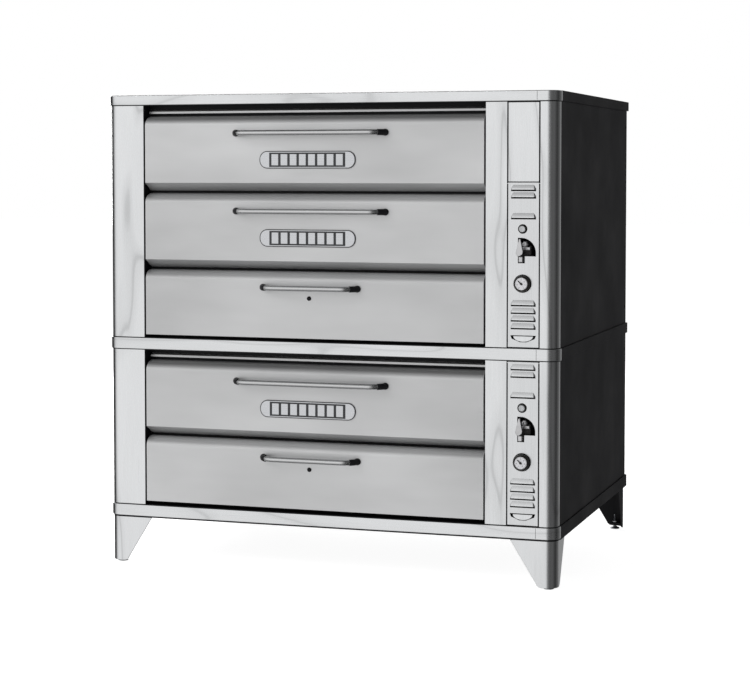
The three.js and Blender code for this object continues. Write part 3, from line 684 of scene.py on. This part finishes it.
# ---- Doors ----
# Each door is a folded sheet of satin stainless with a rolled top over a stained lining. It
# turns on a steel rod near its foot. Baking doors have a sloping foot, burner doors a square one.
satin = brushed("satin_stainless", (0.55, 0.553, 0.557), 0.40, "x", 0.13, 0.0, 0.75)
door_lining = heated("door_lining", (0.36, 0.35, 0.33), (0.22, 0.18, 0.14), 0.45)
rod_steel = brushed("rod_steel", (0.4, 0.4, 0.41), 0.35, "x", 0.1)
panel_rim = 0.035          # flat rim of the lining round its sunk middle
panel_slope = 0.003
panel_depth = 0.0022
panel_area = 0.05          # square metres, more than any other face behind the door
rim_screws = 7             # in each of two rows
rim_screw_inset = 0.016
rim_screw_margin = 0.030
lower_row_share = 0.16     # of the height of the lining
doors = ("bottom_door", "middle_door", "top_door", "lower_burner_door", "upper_burner_door")
for name in ("bottom", "middle", "top"):
    stand_in(f"{name}_door_skin", f"{name}_door_sheet", worked(f"{name}_door_skin", 0.0014, 3), satin)
    node = f"{name}_door_liner"
    low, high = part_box(node)
    shape = worked(node, 0.001)
    rear = [face for face in shape.faces if face.normal.y > 0.99 and face.calc_area() > panel_area]
    bmesh.ops.inset_region(shape, faces=rear, thickness=panel_rim, use_even_offset=True)
    bmesh.ops.inset_region(shape, faces=rear, thickness=panel_slope, depth=-panel_depth, use_even_offset=True)
    stand_in(node, f"{name}_door_lining", shape, door_lining)
    screws = bmesh.new()
    lower_row = low.z + (high.z - low.z) * lower_row_share
    step = (high.x - low.x - 2 * rim_screw_margin) / (rim_screws - 1)
    for i in range(rim_screws):
        across = low.x + rim_screw_margin + step * i
        for height in (lower_row, high.z - rim_screw_inset):
            put(screws, screw_head, (across, high.y, height), TO_BACK)
    piece(f"{name}_door_liner_screws", screws, f"{name}_door", zinc)
for level in ("lower", "upper"):
    node = f"{level}_burner_door_panel"
    stand_in(node, f"{level}_burner_door_sheet", worked(node, 0.0014, 3), satin)
for name in doors:
    rod_mesh = frame["nodes"][f"{name}_rod"].data
    rod_mesh.materials.clear()
    rod_mesh.materials.append(rod_steel)

# ---- Heat strips over the top doors ----
# Above the highest door of each section a folded stainless strip on the oven front keeps
# the heat off the band. It runs from the left post to the stile.
strip_lift = 0.0093        # bottom of the strip above the door
strip_height = 0.0066
strip_reach = 0.014        # how far it stands in front of the oven box
strip_slope = 0.006
strip_gap = 0.0004         # clear of the oven box
strip_overhang = 0.003     # past each end of the door
strip_wall = 0.0012
for name, level in (("bottom", "lower"), ("top", "upper")):
    door_low, door_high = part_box(f"{name}_door_skin")
    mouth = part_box(f"{level}_oven_box")[0].y
    front = mouth - strip_reach
    base = door_high.z + strip_lift
    outline = [(front, base), (front, base + strip_height),
               (mouth - strip_gap, base + strip_height + strip_slope)]
    shape = bmesh.new()
    verts = [shape.verts.new((door_low.x - strip_overhang, y, z)) for y, z in outline]
    edges = [shape.edges.new(pair) for pair in zip(verts, verts[1:])]
    made = bmesh.ops.extrude_edge_only(shape, edges=edges)
    moved = [item for item in made["geom"] if isinstance(item, bmesh.types.BMVert)]
    bmesh.ops.translate(shape, verts=moved, vec=(door_high.x - door_low.x + 2 * strip_overhang, 0.0, 0.0))
    bmesh.ops.recalc_face_normals(shape, faces=shape.faces)
    bmesh.ops.solidify(shape, geom=shape.faces, thickness=strip_wall)
    bmesh.ops.recalc_face_normals(shape, faces=shape.faces)
    piece(f"{level}_heat_strip", shape, "cabinet", satin)

# ---- Door handles ----
# A round polished bar stands off each door. Its ends sweep back into black sockets with
# round bosses that are bolted through the sheet.
bar_radius = 0.0085
boss_radius = 0.011
boss_length = 0.005
end_slope = 0.038
bend_run = 0.012           # where the bend starts to leave the straight bar
bend_lean = 0.55           # where the bend leans most, as a share of the slope
bend_points = 14
neck_back = 0.022          # neck of the bend in front of the sheet, and in from the boss
neck_in = 0.004
foot_gap = 0.002
socket_radius = 0.0098
socket_steps = 8           # of the points along a bend
polished = brushed("polished_bar", (0.58, 0.585, 0.59), 0.24, "x", 0.04)


def swept(route, radius):
    """A round bar along a route of points, closed at both ends."""
    points = [Vector(point) for point in route]
    runs = [(b - a).normalized() for a, b in zip(points, points[1:])]
    aims = [runs[0]] + [(a + b).normalized() for a, b in zip(runs, runs[1:])] + [runs[-1]]
    made = bmesh.new()
    turn = Vector((0.0, 0.0, 1.0)).rotation_difference(aims[0]).to_matrix().to_4x4()
    start = bmesh.ops.create_circle(made, cap_ends=True, radius=radius, segments=24,
                                    matrix=Matrix.Translation(points[0]) @ turn)
    edges = list({edge for vert in start["verts"] for edge in vert.link_edges})
    for i in range(1, len(points)):
        grown = bmesh.ops.extrude_edge_only(made, edges=edges)["geom"]
        ring = [item for item in grown if isinstance(item, bmesh.types.BMVert)]
        edges = [item for item in grown if isinstance(item, bmesh.types.BMEdge)
                 and item.verts[0] in ring and item.verts[1] in ring]
        step = aims[i - 1].rotation_difference(aims[i]).to_matrix().to_4x4()
        move = Matrix.Translation(points[i]) @ step @ Matrix.Translation(-points[i - 1])
        bmesh.ops.transform(made, verts=ring, matrix=move)
    bmesh.ops.contextual_create(made, geom=edges)
    bmesh.ops.recalc_face_normals(made, faces=made.faces)
    return made


boss = turned([(0.0, 0.0), (boss_radius, 0.0), (boss_radius, boss_length - 0.001),
               (boss_radius - 0.001, boss_length), (bar_radius + 0.0005, boss_length + 0.0003),
               (bar_radius - 0.001, boss_length + 0.003), (0.0, boss_length + 0.003)], 32)
for face in boss.faces:
    face.material_index = 1
for name in doors:
    node = f"{name}_handle"
    low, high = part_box(node)
    height = (low.z + high.z) / 2
    bar = low.y + bar_radius
    foot_y = high.y
    ends = (low.x + boss_radius, high.x - boss_radius)
    bends = []
    for end, way in zip(ends, (1.0, -1.0)):
        knot = Vector((end + way * (end_slope + bend_run), bar, height))
        lean = Vector((end + way * end_slope * bend_lean, bar, height))
        neck = Vector((end + way * neck_in, foot_y - neck_back, height))
        foot_point = Vector((end, foot_y - foot_gap, height))
        bends.append(interpolate_bezier(knot, lean, neck, foot_point, bend_points))
    route = list(reversed(bends[0])) + bends[1]
    shape = swept(route, bar_radius)
    for end, bend in zip(ends, bends):
        put(shape, boss, (end, foot_y, height), TO_FRONT)
        socket = swept(bend[-socket_steps:], socket_radius)
        for face in socket.faces:
            face.material_index = 1
        put(shape, socket)
    stand_in(node, f"{name}_handle_bar", shape, [polished, enamel], 50.0)

# ---- Nameplates ----
# A pressed badge with round ends is riveted to each baking door. Its sunk dark field
# carries a plain row of raised bars.
plate_half = 0.1625
plate_rise = 0.1005        # middle of the plate above the foot of the door
plate_height = 0.0560
plate_shift = -0.008       # from the middle of the door
plate_depth = 0.003
field_half = 0.129
field_height = 0.046
bar_count = 8
bar_gap = 0.008
bar_margin = 0.005         # above and below the bars on the field
bar_rise = 0.0016
badge_dark = painted("badge_enamel", (0.035, 0.036, 0.038), 0.35)
badge_light = brushed("badge_metal", (0.60, 0.61, 0.63), 0.28, "x", 0.04)
for name in ("bottom", "middle", "top"):
    low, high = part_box(f"{name}_door_skin")
    middle = Vector(((low.x + high.x) / 2 + plate_shift, low.y, low.z + plate_rise))
    shape = bmesh.new()
    corner = Vector((plate_half, plate_depth, plate_height / 2))
    bmesh.ops.create_cube(shape, size=2.0,
                          matrix=Matrix.Translation(middle) @ Matrix.Diagonal((*corner, 1.0)))
    ends = [edge for edge in shape.edges
            if abs((edge.verts[0].co - edge.verts[1].co).normalized().y) > 0.9]
    round_edges(shape, ends, plate_height / 2 - 0.002, 10)
    face = [each for each in shape.faces if each.normal.y < -0.99]
    bmesh.ops.inset_region(shape, faces=face, thickness=0.0022, use_even_offset=True)
    for each in shape.faces:
        each.material_index = 0 if each in face else 1
    bmesh.ops.inset_region(shape, faces=face, thickness=0.0006, depth=0.0007, use_even_offset=True)
    width = 2 * field_half - 2 * bar_gap
    pitch = (width + bar_gap) / bar_count
    front = middle.y - plate_depth
    bar_half = field_height / 2 - bar_margin
    for i in range(bar_count):
        start = middle.x - width / 2 + i * pitch
        block(shape, (start, front - bar_rise, middle.z - bar_half),
              (start + pitch - bar_gap, front + bar_rise, middle.z + bar_half), 0.0006)
    piece(f"{name}_door_badge", shape, f"{name}_door", [badge_light, badge_dark])
    field = bmesh.new()
    block(field, (middle.x - field_half, front - 0.0010, middle.z - field_height / 2),
          (middle.x + field_half, middle.y - 0.0004, middle.z + field_height / 2), 0.0003)
    piece(f"{name}_door_badge_field", field, f"{name}_door", badge_dark)

# ---- Burner door catches ----
# A slotted screw under each burner door's handle works the spring catch behind the sheet.
# It is turned from steel with a low domed head and blackened against the heat.
catch_drop = 0.0335        # below the handle
catch_shift = -0.003
catch_head = turned([(0.0, 0.0), (0.0072, 0.0), (0.0072, 0.0012), (0.0064, 0.0030), (0.0045, 0.0042),
                     (0.0, 0.0046)], 28)
for level in ("lower", "upper"):
    low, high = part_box(f"{level}_burner_door_handle")
    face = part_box(f"{level}_burner_door_panel")[0].y
    place = ((low.x + high.x) / 2 + catch_shift, face, (low.z + high.z) / 2 - catch_drop)
    shape = bmesh.new()
    put(shape, catch_head, place, TO_FRONT)
    block(shape, (place[0] - 0.0055, face - 0.0052, place[2] - 0.0009),
          (place[0] + 0.0055, face - 0.0030, place[2] + 0.0009), 0.0002, 1)
    piece(f"{level}_burner_door_catch", shape, f"{level}_burner_door", enamel)

# ---- Control covers ----
# A stainless cover hangs in front of each gas train on two trunnions. Its louvres are
# pressed out above their slits, and a dished pull at the foot takes two fingers.
# Bottoms of the slits above the floor of the section.
slit_heights = [0.0595 + 0.0238 * i for i in range(4)] + [0.400, 0.464, 0.487]
cover_gap = 0.004          # beside the cover
slit_margin = 0.009
slit_height = 0.0055
hood_height = 0.0145
hood_depth = 0.0050
hood_taper = 0.007
hood_line = [(1.0, 0.0), (1.0, 0.12), (0.94, 0.24), (0.50, 0.62), (0.12, 0.93), (0.0, 1.0)]
cover_inset = 0.0045       # cover above the floor of its section
pull_top = 0.041
pull_height = 0.021
flap_share = 0.78
flap_tilt = 9.0
flap_drop = 0.0030         # its top edge below the top of the opening
flap_setback = 0.0010
sheet_wall = 0.0009
cover_steel = brushed("cover_stainless", (0.71, 0.72, 0.73), 0.29, "z", 0.04, 0.1)


def louvre(length):
    """One pressed louvre: open below, rounded over, and drawn in to the sheet at both ends."""
    made = bmesh.new()
    profile = [(-hood_depth * out, hood_height * up) for out, up in hood_line]
    verts = [made.verts.new((y, 0.0, z)) for y, z in profile]
    edges = [made.edges.new(pair) for pair in zip(verts, verts[1:])]
    quarter = {"axis": (0, 0, 1), "angle": math.radians(90.0), "steps": 6}
    first = bmesh.ops.spin(made, geom=verts + edges, cent=(0.0, 0.0, 0.0), **quarter)["geom_last"]
    edges = [item for item in first if isinstance(item, bmesh.types.BMEdge)]
    grown = bmesh.ops.extrude_edge_only(made, edges=edges)["geom"]
    moved = [item for item in grown if isinstance(item, bmesh.types.BMVert)]
    bmesh.ops.translate(made, verts=moved, vec=(length, 0.0, 0.0))
    edges = [item for item in grown if isinstance(item, bmesh.types.BMEdge)
             and item.verts[0] in moved and item.verts[1] in moved]
    bmesh.ops.spin(made, geom=moved + edges, cent=(length, 0.0, 0.0), **quarter)
    bmesh.ops.remove_doubles(made, verts=made.verts, dist=1e-6)
    for start, way in ((0.0, -1.0), (length, 1.0)):
        ends = [vert for vert in made.verts if (vert.co.x - start) * way > 1e-6]
        bmesh.ops.scale(made, verts=ends, vec=(hood_taper / hood_depth, 1.0, 1.0),
                        space=Matrix.Translation((-start, 0.0, 0.0)))
    bmesh.ops.recalc_face_normals(made, faces=made.faces)
    if sum(face.normal.y * face.calc_area() for face in made.faces) > 0:
        bmesh.ops.reverse_faces(made, faces=made.faces)
    bmesh.ops.solidify(made, geom=made.faces, thickness=sheet_wall)
    bmesh.ops.recalc_face_normals(made, faces=made.faces)
    return made


for level in ("lower", "upper"):
    node = f"{level}_control_cover"
    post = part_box(f"{level}_right_post")[0]
    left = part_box(f"{level}_door_stile")[1].x + cover_gap
    right = post.x - cover_gap
    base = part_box(node)[0].z - cover_inset
    shape = worked(node, 0.0005)
    hood = louvre(right - left - 2 * slit_margin - 2 * hood_taper)
    for height in slit_heights:
        put(shape, hood, (left + slit_margin + hood_taper, post.y, base + height + slit_height - 0.0006))
    flap = bmesh.new()
    bmesh.ops.create_circle(flap, cap_ends=True, radius=1.0, segments=48)
    bmesh.ops.bisect_plane(flap, geom=flap.verts[:] + flap.edges[:] + flap.faces[:], plane_co=(0, 0, 0),
                           plane_no=(0, 1, 0), clear_outer=True)
    half = (right - left) / 2 - slit_margin
    flap.transform(Matrix.Diagonal((half * flap_share, pull_height * flap_share, 1.0, 1.0)))
    bmesh.ops.recalc_face_normals(flap, faces=flap.faces)
    bmesh.ops.solidify(flap, geom=flap.faces, thickness=-sheet_wall)
    bmesh.ops.recalc_face_normals(flap, faces=flap.faces)
    tilt = Matrix.Rotation(math.radians(90.0 - flap_tilt), 4, "X")
    put(shape, flap, ((left + right) / 2, post.y + flap_setback, base + pull_top - flap_drop), tilt)
    stand_in(node, f"{level}_louvred_cover", shape, cover_steel)
stand_in("upper_blank_panel", "upper_blank_cover", worked("upper_blank_panel"), upright)

# ---- Gas valve levers ----
# A cast grip, narrow at the tip and broad at the hub, turns the gas cock through a quarter
# turn. Beside its hub a fixed stub of the valve looks through the notch in the window.
grip_points = [(-0.0025, 0.043), (0.0025, 0.043), (0.0085, 0.012), (0.0105, 0.003), (0.0085, -0.0045),
               (-0.001, -0.0105), (-0.0075, -0.0100), (-0.0125, -0.0015), (-0.0112, 0.0060)]
grip_depth = 0.009
spindle_radius = 0.006
stub_half = 0.0072
stub_low = 0.0300          # ends of the stub below the pivot
stub_high = 0.0110
stub_proud = 0.010
for level in ("lower", "upper"):
    node = f"{level}_valve_lever"
    low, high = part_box(node)
    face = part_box(f"{level}_right_post")[0].y
    pivot = Vector((low.x + lever_half_width, low.y, low.z + lever_half_width))
    shape = bmesh.new()
    verts = [shape.verts.new((pivot.x + x, low.y + grip_depth, pivot.z + z)) for x, z in grip_points]
    outline = shape.faces.new(verts)
    grown = bmesh.ops.extrude_face_region(shape, geom=[outline])["geom"]
    moved = [item for item in grown if isinstance(item, bmesh.types.BMVert)]
    bmesh.ops.translate(shape, verts=moved, vec=(0.0, -grip_depth, 0.0))
    bmesh.ops.recalc_face_normals(shape, faces=shape.faces)
    round_edges(shape, shape.edges[:], 0.0016, 3)
    start = (pivot.x, low.y + grip_depth - 0.001, pivot.z)
    put(shape, rod(start, (pivot.x, high.y, pivot.z), spindle_radius))
    stand_in(node, f"{level}_lever_grip", shape, aluminium, 40.0)
    stub = bmesh.new()
    block(stub, (pivot.x - stub_half, face - stub_proud, pivot.z - stub_low),
          (pivot.x + stub_half, face + valve_behind, pivot.z - stub_high), 0.0034, 4)
    piece(f"{level}_valve_stub", stub, "cabinet", aluminium, 40.0)

# ---- Thermostat dials ----
# A black moulded skirt with fluted edge carries a pale face with a scale of ticks and
# numbers. A tapered pointer is moulded across it.
skirt_radius = 0.026
face_radius = 0.0195
dial_front = 0.006         # front of the skirt behind the front of the pointer's box
skirt_gap = 0.002          # back of the skirt in front of the cover
dial_stem = 0.004
pointer_turn = math.radians(48.0)
flute_count = 30
tick_count = 25
scale_start = math.radians(30.0)
scale_sweep = math.radians(300.0)
numbers = ("1", "2", "3", "4", "5", "6", "7")
number_size = 0.0050
number_inset = 0.0072


def moulded(name, color, roughness):
    """Phenolic moulding or stoved enamel with a soft uneven gloss."""
    made, tree, shader = material(name, color, roughness, 0.0, 0.4)
    patches = pattern(tree, 40.0, detail=4.0)
    tree.links.new(blend(tree, patches, shade(color, 0.88), shade(color, 1.12)), shader.inputs["Base Color"])
    tree.links.new(spread(tree, patches, roughness - 0.06, roughness + 0.08), shader.inputs["Roughness"])
    relief(tree, shader, pattern(tree, 700.0, detail=2.0), 0.05, 0.0002)
    return made


phenolic = moulded("black_phenolic", (0.018, 0.017, 0.016), 0.36)
dial_enamel = moulded("dial_enamel", (0.60, 0.60, 0.62), 0.40)
flute = turned([(0.0, 0.0), (0.0011, 0.0), (0.0011, 0.010), (0.0, 0.0112)], 8)


def figure(text):
    """Raised figures for a dial, standing upright and facing forwards, about their middle."""
    curve = bpy.data.curves.new("figure", "FONT")
    curve.body = text
    curve.size = number_size
    curve.extrude = 0.00015
    curve.align_x = "CENTER"
    curve.align_y = "CENTER"
    curve.resolution_u = 2
    holder = bpy.data.objects.new("figure", curve)
    mesh = bpy.data.meshes.new_from_object(holder)
    made = bmesh.new()
    made.from_mesh(mesh)
    bpy.data.objects.remove(holder)
    bpy.data.curves.remove(curve)
    bpy.data.meshes.remove(mesh)
    bmesh.ops.remove_doubles(made, verts=made.verts, dist=1e-7)
    made.transform(TO_FRONT)
    return made


for level in ("lower", "upper"):
    node = f"{level}_thermostat_dial"
    low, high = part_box(node)
    middle = Vector(((low.x + high.x) / 2, 0.0, (low.z + high.z) / 2))
    front = low.y + dial_front
    cover_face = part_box(f"{level}_right_post")[0].y
    back = cover_face - skirt_gap
    depth = back - front
    skirt = turned([(0.0, 0.0), (skirt_radius - 0.001, 0.0), (skirt_radius, 0.001),
                    (skirt_radius, depth * 0.35), (skirt_radius - 0.0015, depth - 0.003),
                    (skirt_radius - 0.0035, depth - 0.0007),
                    (face_radius + 0.002, depth), (face_radius + 0.0005, depth - 0.0008),
                    (face_radius, depth - 0.0028), (0.0, depth - 0.0028)], 64)
    for i in range(flute_count):
        turn = Matrix.Rotation(math.tau * i / flute_count, 4, "Z")
        put(skirt, flute, turn @ Vector((skirt_radius - 0.0004, 0.0, 0.001)))
    shape = bmesh.new()
    put(shape, skirt, (middle.x, back, middle.z), TO_FRONT)
    put(shape, rod((middle.x, back - 0.001, middle.z), (middle.x, high.y, middle.z), dial_stem))
    lean = Matrix.Translation((middle.x, front, middle.z)) @ Matrix.Rotation(-pointer_turn, 4, "Y")
    pointer = bmesh.new()
    block(pointer, (-0.0014, -0.0012, -0.0045), (0.0014, 0.0027, 0.0135), 0.0006)
    block(pointer, (-0.0032, -0.0022, -0.0032), (0.0032, 0.0027, 0.0032), 0.0012)
    put(shape, pointer, turn=lean)
    stand_in(node, f"{level}_dial_skirt", shape, phenolic, 40.0)
    plate = turned([(0.0, 0.0), (face_radius - 0.0002, 0.0), (face_radius - 0.0004, 0.0008),
                    (0.0, 0.0010)], 48)
    shape = bmesh.new()
    put(shape, plate, (middle.x, front + 0.0026, middle.z), TO_FRONT)
    piece(f"{level}_dial_face", shape, f"{level}_dial", dial_enamel)
    marks = bmesh.new()
    spot = Vector((middle.x, front + 0.0015, middle.z))
    for i in range(tick_count):
        length = 0.0042 if i % 4 == 0 else 0.0028
        tick = bmesh.new()
        block(tick, (-0.00025, -0.0002, -(face_radius - 0.001)),
              (0.00025, 0.0002, -(face_radius - length)), 0.00005, 1)
        put(marks, tick, spot, Matrix.Rotation(scale_start + scale_sweep * i / (tick_count - 1), 4, "Y"))
    reach = face_radius - number_inset
    for i, text in enumerate(numbers):
        angle = scale_start + scale_sweep * i / (len(numbers) - 1)
        put(marks, figure(text), spot - reach * Vector((math.sin(angle), 0.0, math.cos(angle))))
    piece(f"{level}_dial_marks", marks, f"{level}_dial", phenolic)

# ---- Pilot buttons ----
# A grey push button sits in a black collar screwed to the pilot valve behind the cover.
# Both are mouldings: the button has a dished face, the collar a chamfered rim.
collar_radius = 0.0135
collar_sink = 0.021        # its back behind the face of the cover
button_metal = moulded("button_grey", (0.42, 0.43, 0.44), 0.35)
for level in ("lower", "upper"):
    node = f"{level}_pilot_button"
    low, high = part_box(node)
    middle = Vector(((low.x + high.x) / 2, 0.0, (low.z + high.z) / 2))
    radius = (high.x - low.x) / 2
    length = high.y - low.y
    cap = turned([(0.0, 0.0), (radius, 0.0), (radius, length - 0.0022), (radius - 0.0008, length - 0.0008),
                  (radius - 0.0024, length - 0.0002), (radius - 0.0034, length - 0.0008),
                  (0.0, length - 0.0014)], 40)
    shape = bmesh.new()
    put(shape, cap, (middle.x, high.y, middle.z), TO_FRONT)
    stand_in(node, f"{level}_button_cap", shape, button_metal)
    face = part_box(f"{level}_right_post")[0].y
    ring = turned([(radius + 0.0004, 0.0), (collar_radius - 0.0006, 0.0), (collar_radius, 0.0006),
                   (collar_radius, 0.0225), (collar_radius - 0.0012, 0.0245), (radius + 0.0012, 0.0250),
                   (radius + 0.0004, 0.0240)], 40, True)
    shape = bmesh.new()
    put(shape, ring, (middle.x, face + collar_sink, middle.z), TO_FRONT)
    piece(f"{level}_button_collar", shape, "cabinet", phenolic)

# ---- Middle deck and top cover ----
# The sections are stacked on a second insulated pan, and a third closes the top. Bright
# bands wrap both, as at the base.
top_reveal = 0.0010        # black edge of the top cover above its band
for name, pan in (("middle", "deck"), ("top", "cover")):
    shape = worked(f"{name}_trim", 0.0016, 3)
    if name == "top":
        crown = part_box("top_trim")[1].z
        for vert in shape.verts:
            vert.co.z = min(vert.co.z, crown) - (top_reveal if vert.co.z > crown - 0.004 else 0.0)
    stand_in(f"{name}_trim", f"{name}_band", shape, bright)
    stand_in(f"{name}_{pan}", f"{name}_pan", worked(f"{name}_{pan}", 0.0015), black)
    # A black strip under each band: painted shadow where the band meets the posts.
    shadow_strip(f"{name}_trim", f"{name}_under_shadow_strip", False)
    joint(f"{name}_trim", f"{name}_band_joint")
# A black strip over the middle band: painted shadow as well.
shadow_strip("middle_trim", "middle_over_shadow_strip", True)
